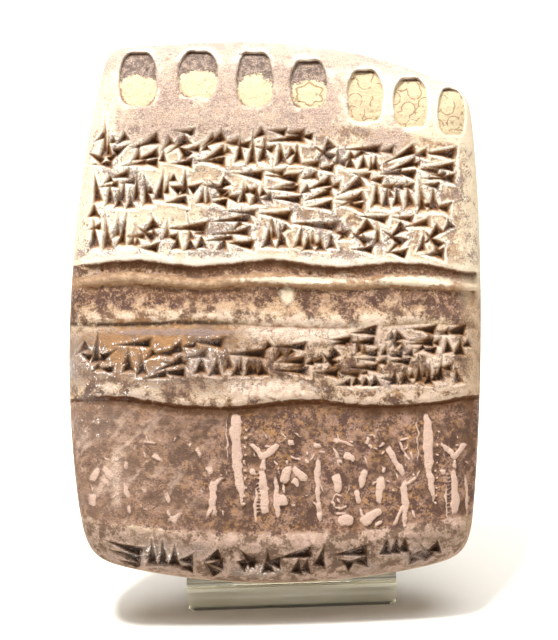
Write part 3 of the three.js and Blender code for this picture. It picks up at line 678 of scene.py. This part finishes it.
# The colours
TONES = {
    # The clay all over; ochre, brown and dark are also painted as shade where the relief lies deep
    "sand": (0.36, 0.25, 0.155), "chalk": (0.59, 0.5, 0.37), "cream": (0.51, 0.43, 0.275),
    "white": (0.62, 0.56, 0.48), "pink": (0.4, 0.28, 0.22), "lilac": (0.33, 0.245, 0.205),
    "ochre": (0.25, 0.14, 0.06), "brown": (0.2, 0.09, 0.032), "umber": (0.058, 0.031, 0.018),
    "dark": (0.05, 0.015, 0.003),
    # The grooves and the rolled strip
    "earth": (0.072, 0.038, 0.027), "earth_light": (0.21, 0.12, 0.075), "rust": (0.28, 0.145, 0.055),
    "mauve": (0.3, 0.2, 0.175), "groove_tan": (0.32, 0.2, 0.115), "groove_speck": (0.36, 0.245, 0.16),
    "edge_tan": (0.36, 0.235, 0.14), "edge_brown": (0.2, 0.11, 0.055),
    "worn_brown": (0.22, 0.14, 0.095), "worn_shade": (0.13, 0.09, 0.075), "worn_streak": (0.4, 0.285, 0.215),
    "worn_bar": (0.42, 0.31, 0.24),
    # The rows and the foot; the pit colours are painted shade, and the foot's brown is partly painted shade
    "row_tan": (0.3, 0.185, 0.105), "row_brown": (0.17, 0.095, 0.052), "row_dull": (0.15, 0.098, 0.072),
    "bisque": (0.52, 0.42, 0.33), "pit_shade_brown": (0.045, 0.024, 0.013), "pit_shade_black": (0.035, 0.018, 0.01),
    "foot_brown_and_shade": (0.12, 0.075, 0.05), "foot_light": (0.34, 0.235, 0.18),
    "sill": (0.36, 0.25, 0.2), "sill_brown": (0.26, 0.17, 0.125),
    # What lies on the clay; the smeared band is partly painted shade, and the glints are painted highlights
    "dirt": (0.24, 0.17, 0.145), "dirt_light": (0.5, 0.38, 0.295), "dirt_rust": (0.4, 0.25, 0.15),
    "soot": (0.13, 0.095, 0.078), "soot_light": (0.28, 0.2, 0.165),
    "bed": (0.11, 0.078, 0.062), "bed_light": (0.38, 0.29, 0.24),
    "wet_orange": (0.28, 0.145, 0.06), "wet_brown": (0.13, 0.075, 0.045), "smear_and_shade": (0.2, 0.145, 0.13),
    "glint": (0.75, 0.73, 0.71),
    # The easel's tones
    "acrylic": (1.0, 0.97, 0.82), "acrylic_haze": (1.0, 0.99, 0.9),
    # The floor, and the light from all round
    "paper": (0.68, 0.66, 0.62), "room": (1, 0.95, 0.88),
}

# The grains of the clay's mottling, in millimetres
GRAINS = {"wide": 9, "mid": 3, "fine": 1.2, "grain": 0.45}

# Strips across the face: from and to in shares of the height, and how soft their edges are
STRIPS = {
    "sill": (0.07, 0.098, 0.004), "rolled": (0.096, PICTURE_TOP, 0.006), "worn_bar": (0.13, 0.24, 0.015),
    "lip_shadow": (0.3245, 0.3325, 0.0015), "dull_row": (0.36, 0.45, 0.02), "crease_shade": (0.472, 0.48, 0.003),
    "tan_groove": (0.5, 0.55, 0.008), "clear_groove": (0.522, 0.55, 0.008),
    "groove_edge": (0.543, 0.566, 0.003), "upper_groove": (0.561, 0.589, 0.003),
}
WORN_BAR_LEFT, WORN_BAR_RIGHT = -34.6, -32.8

# Blotches on the face: the middle across and up, and the reach each way, in shares of width and height
WHITE_CHIPS = [(0.06, 0.556, 0.13, 0.006), (0.34, 0.554, 0.1, 0.009), (0.03, 0.53, 0.016, 0.015)]
PALE_PATCHES = [
    (0.06, 0.463, 0.15, 0.018), (0.22, 0.37, 0.06, 0.012), (-0.02, 0.36, 0.1, 0.015), (0.4, 0.44, 0.03, 0.02),
    (0.39, 0.41, 0.03, 0.014),
]
DIRTY_PATCHES = [
    (-0.29, 0.845, 0.09, 0.05), (-0.1, 0.85, 0.22, 0.04), (0.1, 0.88, 0.07, 0.07), (-0.25, 0.92, 0.04, 0.06),
    (-0.115, 0.91, 0.04, 0.06), (0.015, 0.92, 0.04, 0.06), (-0.37, 0.955, 0.05, 0.02),
    (0.15, 0.955, 0.06, 0.015), (0.27, 0.81, 0.05, 0.03),
]
WET_PATCHES = [(-0.33, 0.435, 0.13, 0.05), (-0.17, 0.455, 0.09, 0.03)]
WET_SMEAR_AND_SHADE = [(-0.24, 0.462, 0.16, 0.006)]
SHINY_PATCH = [(-0.36, 0.4, 0.14, 0.06)]
SHINY_SPOTS = [
    (-0.2, 0.43, 0.09, 0.04), (-0.44, 0.3, 0.04, 0.05), (-0.29, 0.06, 0.08, 0.02), (-0.05, 0.03, 0.07, 0.012),
]
FLOWER_STAMP, FLOWER_REACH = (0.08, 0.9), (6, 8)


class Clay:
    """The tablet's clay: what its finish reads at each point, and the coats of colour laid on it in turn."""

    def __init__(self, place, origin):
        """Reads the facts, and the tablet's flat coordinates in millimetres."""
        facts = [place.node("Attribute", 2, {"attribute_name": name}) for name in FACTS]
        self.line, self.front, self.hollow, self.ridge, self.figure = facts[:5]
        self.stamp, self.stamp_across, self.stamp_up, self.written = facts[5:]
        self.flat = place.node("Mapping", settings={"vector_type": "TEXTURE"}, Vector=place, Location=origin,
                               Rotation=TURN.to_euler(), Scale=(0.001, 0.001, 0.001))
        self.across = self.flat.part(0)
        self.colour = self.flat.colour("sand")
        self.noises = {name: self.flat.noise(size) for name, size in GRAINS.items()}
        self.mid, self.fine = self.noises["mid"], self.noises["fine"]

        # Stipple, patches, the deep places and walls facing down outside the stamps (painted shade), and the
        # parts of the face
        self.stipple = (self.flat.noise(0.32) * 0.9 + self.fine * 0.3).step(0.5, 0.7)
        self.patchy = self.mottle(0.83, 1.17, mid=0.9, wide=0.8, grain=0.3)
        self.hollow = self.hollow * (1 - self.stamp)
        self.upper = self.line.step(0.49, 0.6)
        self.rolled = self.strip("rolled")
        self.grooves = self.line.step(0.498, 0.545) * self.line.step(0.552, 0.548)
        self.grooves = self.grooves + self.strip("upper_groove")
        self.foot = self.line.step(0.1, 0.08) * self.front

    def paint(self, tone, share):
        """Lays one more coat on the clay, as far as share says."""
        self.colour = self.colour.tint(tone, share)

    def strip(self, name):
        """1 on one of the strips across the face."""
        return self.line.between(*STRIPS[name])

    def blend(self, **shares):
        """The named noises, each by its share."""
        return sum(self.noises[name] * share for name, share in shares.items())

    def mottle(self, low, high, **shares):
        """Ragged patches: a blend of noises, 0 at low and 1 at high."""
        return self.blend(**shares).step(low, high)

    def right(self, start, end):
        """0 at start and 1 at end, in shares of the width."""
        return self.across.step(start * WIDTH, end * WIDTH)

    def mixed(self, first, second, share):
        return self.flat.colour(first).tint(second, share)

    def blotches(self, places, ragged=1.3):
        """Ragged blotches on the face."""
        rough = self.blend(mid=ragged, fine=ragged)
        total = 0
        for across, up, wide, tall in places:
            far = self.flat.distance((across * WIDTH, up * HEIGHT), (wide * WIDTH, tall * HEIGHT))
            total = total + (far + rough).step(1.3 + ragged, 0.6 + ragged) * self.front
        return total

    def earth(self):
        """The mottled brown of the grooves and the rolled strip."""
        earth = self.mixed("earth", "earth_light", self.mottle(0.83, 1.09, mid=0.8, fine=0.6, grain=0.5))
        earth = earth.tint("rust", self.mottle(0.87, 1.03, fine=0.7, wide=0.5, grain=0.5) * 0.75)
        earth = earth.tint("mauve", self.mottle(0.65, 0.83, grain=0.8, mid=0.5) * 0.6)
        return earth.tint("umber", (self.flat.noise(5) * 0.8 + self.blend(grain=0.5)).step(0.66, 0.84) * 0.8)

    def ground(self):
        """Chalky sand, mottled with lilac and brown, and more chalky in the upper half."""
        chalky = (self.blend(wide=0.5, mid=0.5, grain=0.6) + self.upper * 0.24).step(0.74, 1.0)
        self.paint("chalk", chalky)
        self.paint("lilac", self.mottle(0.54, 0.66, wide=0.6, grain=0.5) * 0.5)
        self.paint("brown", self.mottle(0.69, 0.76, fine=0.6, grain=0.6) * 0.35)
        top = (self.blend(wide=0.8, mid=0.6) + self.stipple * 0.3).step(0.66, 0.95)
        self.paint("lilac", self.line.step(0.93, 0.99) * top)

    def bands(self):
        """Earth in the grooves, in the rolled strip and, in patches, over the lower half."""
        speckled = self.mottle(1.01, 1.43, wide=0.9, mid=0.5, fine=0.5, grain=0.4)
        speckled = speckled * (1 - 0.6 * self.strip("clear_groove"))
        low = (1 - self.upper) * (1 - self.patchy)
        tan = self.strip("tan_groove") * (0.95 - 0.4 * self.stipple) * self.front
        self.paint("groove_tan", tan)
        earthy = (self.rolled + self.grooves * (1.25 - speckled) + low * 0.85).step(0.1, 0.95)
        self.paint(self.earth(), earthy * self.front)
        specks = self.mottle(0.66, 0.78, fine=0.7, grain=0.6) * self.grooves * self.front
        self.paint("groove_speck", specks * 0.75)

    def rolled_strip(self):
        """Wear at the strip's left end, with slanted streaks and a faint bar, then the brown foot row, partly
        painted shade, the dull left of the row over the strip, and the pink figures."""
        slanted = self.flat.node("Mapping", Vector=self.flat, Rotation=(0, 0, 0.7))
        streaks = slanted.vector("MULTIPLY", (1, 0.25, 1)).noise(2.4)
        worn = self.rolled * self.right(-0.05, -0.4)
        shade = (self.flat.noise(7) * 0.8 + self.fine * 0.4).step(0.62, 0.76)
        self.paint("worn_brown", worn * 0.35)
        self.paint("worn_shade", shade * worn * 0.6)
        self.paint("worn_streak", (streaks * 0.8 + self.fine * 0.3).step(0.54, 0.74) * worn * 0.75)
        bar = self.across.between(WORN_BAR_LEFT, WORN_BAR_RIGHT, 0.7) * self.strip("worn_bar")
        self.paint("worn_bar", bar * (0.35 + 0.5 * self.stipple))
        # The foot row's brown, partly painted shade where the face curves away from the light
        self.paint("foot_brown_and_shade", self.foot * (0.6 + 0.35 * self.stipple))
        light = self.mottle(0.69, 0.83, mid=0.7, fine=0.5, grain=0.3)
        self.paint("foot_light", self.foot * light * 0.85)
        dull = self.strip("dull_row") * self.right(0.1, -0.25) * self.front
        self.paint("row_dull", dull * (0.4 + 0.45 * self.patchy))
        self.paint("pink", (self.figure * (0.6 + 0.8 * self.fine)).step(0.3, 0.65) * 0.97)

    def rubbed(self):
        """Tan and brown between the strokes, and chalk, white and pink where the relief stands out."""
        tan = self.mottle(0.74, 0.96, mid=0.7, fine=0.7, grain=0.4) * self.right(-0.42, -0.05)
        self.paint("row_tan", tan * self.written * self.upper * 0.85)
        ruddy = (self.flat.noise(4) * 0.8 + self.fine * 0.4).step(0.6, 0.74) * self.right(-0.15, 0.15)
        self.paint("row_brown", ruddy * self.written * self.upper * 0.85)
        rubbed = (self.ridge * (0.05 + self.patchy + 0.35 * self.upper)).step(0.25, 1.0)
        rubbed = rubbed * (1 - self.figure) * (1 - 0.6 * self.grooves)
        rubbed = rubbed * (0.35 + 0.65 * self.line.step(0.06, 0.16))
        self.paint("white", rubbed * (0.25 + 0.65 * self.upper))
        self.paint("pink", rubbed * (1 - self.upper) * 0.6)

        chips = self.blotches(WHITE_CHIPS)
        edge = self.mixed("edge_tan", "edge_brown", self.mottle(0.72, 1.02, fine=0.7, mid=0.7, grain=0.4))
        self.paint(edge, self.strip("groove_edge") * (1 - chips) * self.front * 0.9)
        self.paint("chalk", chips * 0.8)
        pale = self.mixed("bisque", "pink", self.mottle(0.55, 0.7, fine=0.8, grain=0.4))
        self.paint(pale, self.blotches(PALE_PATCHES) * 0.85)
        sill = self.strip("sill") * self.right(-0.26, -0.2) * self.patchy.step(0.2, 0.8)
        self.paint(self.mixed("sill", "sill_brown", self.fine.step(0.4, 0.6)), sill * 0.8)
        margin = self.right(0.43, 0.475) * (1 - self.upper) * (1 - self.rolled) * self.front
        self.paint("sand", margin * (0.3 + 0.6 * self.stipple))
        self.paint("chalk", self.right(0.425, 0.47) * self.upper * self.front * 0.75)

    def hollow_dirt_and_shade(self):
        """Ochre, brown and dark, one inside the other, where the relief lies deep or faces down: dirt, and
        shade painted into the colour. Dark under the lip: a painted shadow, with dirt.
        """
        shaded = self.written * (0.6 + 0.4 * self.front)
        # Dirt and painted shade where the relief lies deep or faces down: ochre, then brown, then dark where
        # deepest
        self.paint("ochre", (self.hollow * (0.7 + 0.6 * self.fine) * shaded).step(0.1, 0.5) * 0.5)
        kept = 0.9 - 0.5 * self.rolled - 0.5 * self.grooves * self.front
        self.paint("brown", (self.hollow * (0.75 + 0.5 * self.fine)).step(0.12, 0.65) * kept)
        self.paint("dark", (self.hollow * (0.5 + self.fine)).step(0.45, 1.0) * 0.85)
        deep = (self.hollow * (0.6 + 0.7 * self.fine)).step(0.35, 0.8)
        # Painted shade, with dirt, in the pits of the lower rows, and near black in the foot row's pits
        self.paint("pit_shade_brown", self.written * (1 - self.upper) * deep * 0.8)
        self.paint("pit_shade_black", self.foot * self.hollow.step(0.15, 0.5) * 0.9)
        # Painted shadow, with dirt, under the overhanging lip
        lip_shadow = self.strip("lip_shadow") * self.front
        self.paint("dark", lip_shadow * self.fine.step(0.25, 0.5) * 0.9)

    def dirt(self):
        """Grey dirt round the stamps, with rusty specks, and soot between the strokes."""
        dirty = self.blotches(DIRTY_PATCHES) * (1 - self.hollow)
        grey = self.mixed("dirt", "dirt_light", self.stipple * 0.7 + self.patchy * 0.4)
        self.paint(grey, dirty * 0.9)
        rusty = (self.flat.noise(0.6) * 0.7 + self.mid * 0.5).step(0.64, 0.76)
        self.paint("dirt_rust", dirty * rusty * 0.6)
        sooty = self.mottle(1.03, 1.15, wide=0.5, mid=0.8, grain=0.7) * self.written
        self.paint(self.mixed("soot", "soot_light", self.stipple), sooty * 0.85)

    def stamp_floors(self):
        """A stamp's floor: grey-brown, with a cream oval low in it, and cream all over in the last three. Its
        top is painted dark, a painted shadow under the steep top wall.

        Thin brown arcs are drawn on it, and in one stamp a flower: a line at 0.66 + 0.09 cos(6 turn) from its
        middle. Returns those lines.
        """
        clean = self.right(0.13, 0.15)
        local = self.stamp.node("CombineXYZ", X=self.stamp_across, Y=self.stamp_up)
        away = local.vector("SUBTRACT", (0.05, -0.42, 0)).vector("MULTIPLY", (1, 1.6, 0))
        far = away.length()
        turn = far.math("ARCTAN2", away.part(0), away.part(1))
        petals = abs(far - 0.66 - 0.09 * turn.math("COSINE", turn * 6.0) + (self.fine - 0.5) * 0.3)
        middle = (FLOWER_STAMP[0] * WIDTH, FLOWER_STAMP[1] * HEIGHT)
        flower = petals.step(0.09, 0.02) * self.flat.distance(middle, FLOWER_REACH).step(1.1, 0.9)
        flat_cells = {"voronoi_dimensions": "2D"}
        cells = self.flat.node("TexVoronoi", settings=flat_cells, Vector=self.flat, Scale=0.36)
        arcs = abs(cells - 0.52).step(0.06, 0.015) * self.mottle(0.5, 0.6, mid=0.6, fine=0.6)
        lines = (flower + arcs * (0.35 + 0.65 * clean)).step(0.1, 0.9) * self.stamp.step(0.6, 0.95)

        bed = self.mixed("bed", "bed_light", self.stipple * 0.7 * self.fine.step(0.3, 0.6))
        oval = (far + self.blend(mid=0.6, fine=0.5, grain=0.4)).step(1.83, 1.53)
        bed = bed.tint("cream", (oval + clean).step(0.2, 0.8))
        edge = far.between(0.86, 0.98, 0.04) * far.math("LESS_THAN", away.part(1), 0.1)
        bed = bed.tint("ochre", edge * 0.4)
        bed = bed.tint("sand", clean * 0.35 + self.mottle(0.64, 0.74, grain=0.6, fine=0.6) * 0.4)
        bed = bed.tint("brown", lines * 0.6)
        # Painted shadow: dark under each stamp's steep top wall
        bed = bed.tint("umber", self.stamp_up.step(0.8, 0.9) * (0.65 + 0.6 * self.fine))
        self.paint(bed, self.stamp.step(0.5, 0.92))
        return lines

    def wet_brown(self):
        """The patch that stayed brown, with a purple-grey smeared band along its top that is partly painted
        shade, the groove there painted dark as shade, and specks all over.
        """
        brown = self.mixed("wet_orange", "wet_brown", self.mottle(0.72, 0.98, wide=0.8, fine=0.5, grain=0.4))
        self.paint(brown, self.blotches(WET_PATCHES, 0.8) * (1 - self.hollow) * 0.9)
        # Purple-grey smeared band under the overhanging edge, partly painted shade
        self.paint("smear_and_shade", self.blotches(WET_SMEAR_AND_SHADE, 1.0) * (0.5 + 0.5 * self.stipple))
        # Painted shade in the groove along the top of the patch
        crease_shade = self.strip("crease_shade") * self.right(-0.02, -0.2) * self.front
        self.paint("umber", crease_shade * self.fine.step(0.3, 0.5))
        self.paint("umber", self.mottle(0.66, 0.76, grain=0.7, fine=0.4) * 0.6)


def fired_clay(origin):
    """Baked clay: chalky where it is rubbed, umber dirt and painted shade in deep places, brown in the
    grooves and the rolled strip, with ashy dirt, cream stamp floors and a patch that has stayed brown and
    shiny, with painted glints."""
    made, shader, place = new_material("fired_clay")
    clay = Clay(place, origin)
    clay.ground()
    clay.bands()
    clay.rolled_strip()
    clay.rubbed()
    clay.hollow_dirt_and_shade()
    clay.dirt()
    lines = clay.stamp_floors()
    clay.wet_brown()

    shine = clay.blotches(SHINY_PATCH, 0.8) + clay.blotches(SHINY_SPOTS)
    # Painted highlights: pale glints laid into the colour of the shiny patches
    glint = (clay.blend(grain=0.7, fine=0.5) + clay.ridge * 0.06).step(0.72, 0.79) * shine.step(0.3, 0.9)
    clay.paint("glint", glint * 0.85)
    clay.colour.feed(shader.inputs["Base Color"])
    glossy = shine.step(0.1, 0.8)
    (0.85 - 0.45 * glossy).feed(shader.inputs["Roughness"])
    (0.6 * glossy).feed(shader.inputs["Coat Weight"])
    shader.inputs["Specular IOR Level"].default_value = 0.15
    shader.inputs["Coat Roughness"].default_value = 0.08
    height = clay.blend(grain=0.5, fine=0.5) + 0.35 * clay.flat.noise(0.25, 1.0)
    height = height - 0.3 * lines + shine * clay.mid
    clay.flat.node("Bump", Strength=1.0, Distance=0.00045, Height=height).feed(shader.inputs["Normal"])
    return made


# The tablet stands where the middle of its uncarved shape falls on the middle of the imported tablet's box.
points, faces, facts = make_tablet()
low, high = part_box("tablet")
plain = leant(np.concatenate([as_points(*pillow(*PLAIN_GRID, side)[:3]) for side in (1, -1)]))
shift = (np.array(low) + np.array(high)) / 2 * 1000 - (plain.min(0) + plain.max(0)) / 2
tablet = mesh_object("clay_tablet", (leant(points) + shift) / 1000, faces)
for name, values in facts.items():
    tablet.data.attributes.new(name, "FLOAT", "POINT").data.foreach_set("value", values.astype(np.float32))
thin = tablet.modifiers.new("fewer_triangles", "DECIMATE")
thin.ratio = TRIANGLES / (2 * len(faces))
tablet.data.materials.append(fired_clay(shift / 1000))
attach(tablet, "root")
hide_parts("tablet")

# The easel
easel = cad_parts["easel"]
acrylic, shader, place = new_material("clear_acrylic")
haze = place.noise(0.004).step(0.4, 0.75)
place.colour("acrylic").tint("acrylic_haze", haze).feed(shader.inputs["Base Color"])
(0.02 + 0.06 * haze).feed(shader.inputs["Roughness"])
shader.inputs["IOR"].default_value = 1.49
shader.inputs["Transmission Weight"].default_value = 0.86
easel.data.materials.clear()
easel.data.materials.append(acrylic)

# The floor
corners = FLOOR_REACH * np.array([[-1, -1, 0], [1, -1, 0], [1, 1, 0], [-1, 1, 0]])
floor = mesh_object("floor", corners, np.array([[0, 1, 2, 3]]))
paper, shader, _ = new_material("white_paper")
shader.inputs["Base Color"].default_value = (*TONES["paper"], 1)
shader.inputs["Roughness"].default_value = 0.9
floor.data.materials.append(paper)


def add_sun(name, toward, power, angle):
    """A sun that shines along toward. The larger its angle is, the softer are its shadows."""
    data = bpy.data.lights.new(name, "SUN")
    data.energy, data.angle = power, angle
    sun = bpy.data.objects.new(name, data)
    sun.rotation_euler = Vector(toward).to_track_quat("-Z", "Y").to_euler()
    bpy.context.scene.collection.objects.link(sun)


# The key shines down the written face from its upper left.
add_sun("high_key", TURN @ Vector((0.25, -0.87, -0.47)), KEY_POWER, KEY_ANGLE)
add_sun("overhead", (0, -0.06, -1), OVERHEAD_POWER, OVERHEAD_ANGLE)

world = bpy.data.worlds.new("studio")
bpy.context.scene.world = world
world.use_nodes = True
backdrop = world.node_tree.nodes["Background"]
backdrop.inputs["Color"].default_value = (*TONES["room"], 1)
backdrop.inputs["Strength"].default_value = ROOM_STRENGTH

# The camera looks square at the written face, and is turned so that the tablet is upright in its picture.
camera = bpy.data.objects.new("camera", bpy.data.cameras.new("camera"))
bpy.context.scene.collection.objects.link(camera)
camera.data.lens = camera.data.sensor_width * DISTANCE * 1000 / (PHOTO_SIZE[1] * MM_PER_PIXEL)
aim_right, aim_up = PHOTO_SIZE[0] / 2 - FOOT_IN_PHOTO[0], FOOT_IN_PHOTO[1] - PHOTO_SIZE[1] / 2
flat_aim = np.array([[aim_right * MM_PER_PIXEL, aim_up * MM_PER_PIXEL, 0]])
aim = Vector(((leant(flat_aim) + shift) / 1000)[0])
camera.location = aim + TURN @ Vector((0, 0, DISTANCE))
camera.rotation_euler = TURN.to_euler()
camera.data.clip_start = 0.01
bpy.context.scene.camera = camera
bpy.context.scene.view_settings.view_transform = "Standard"
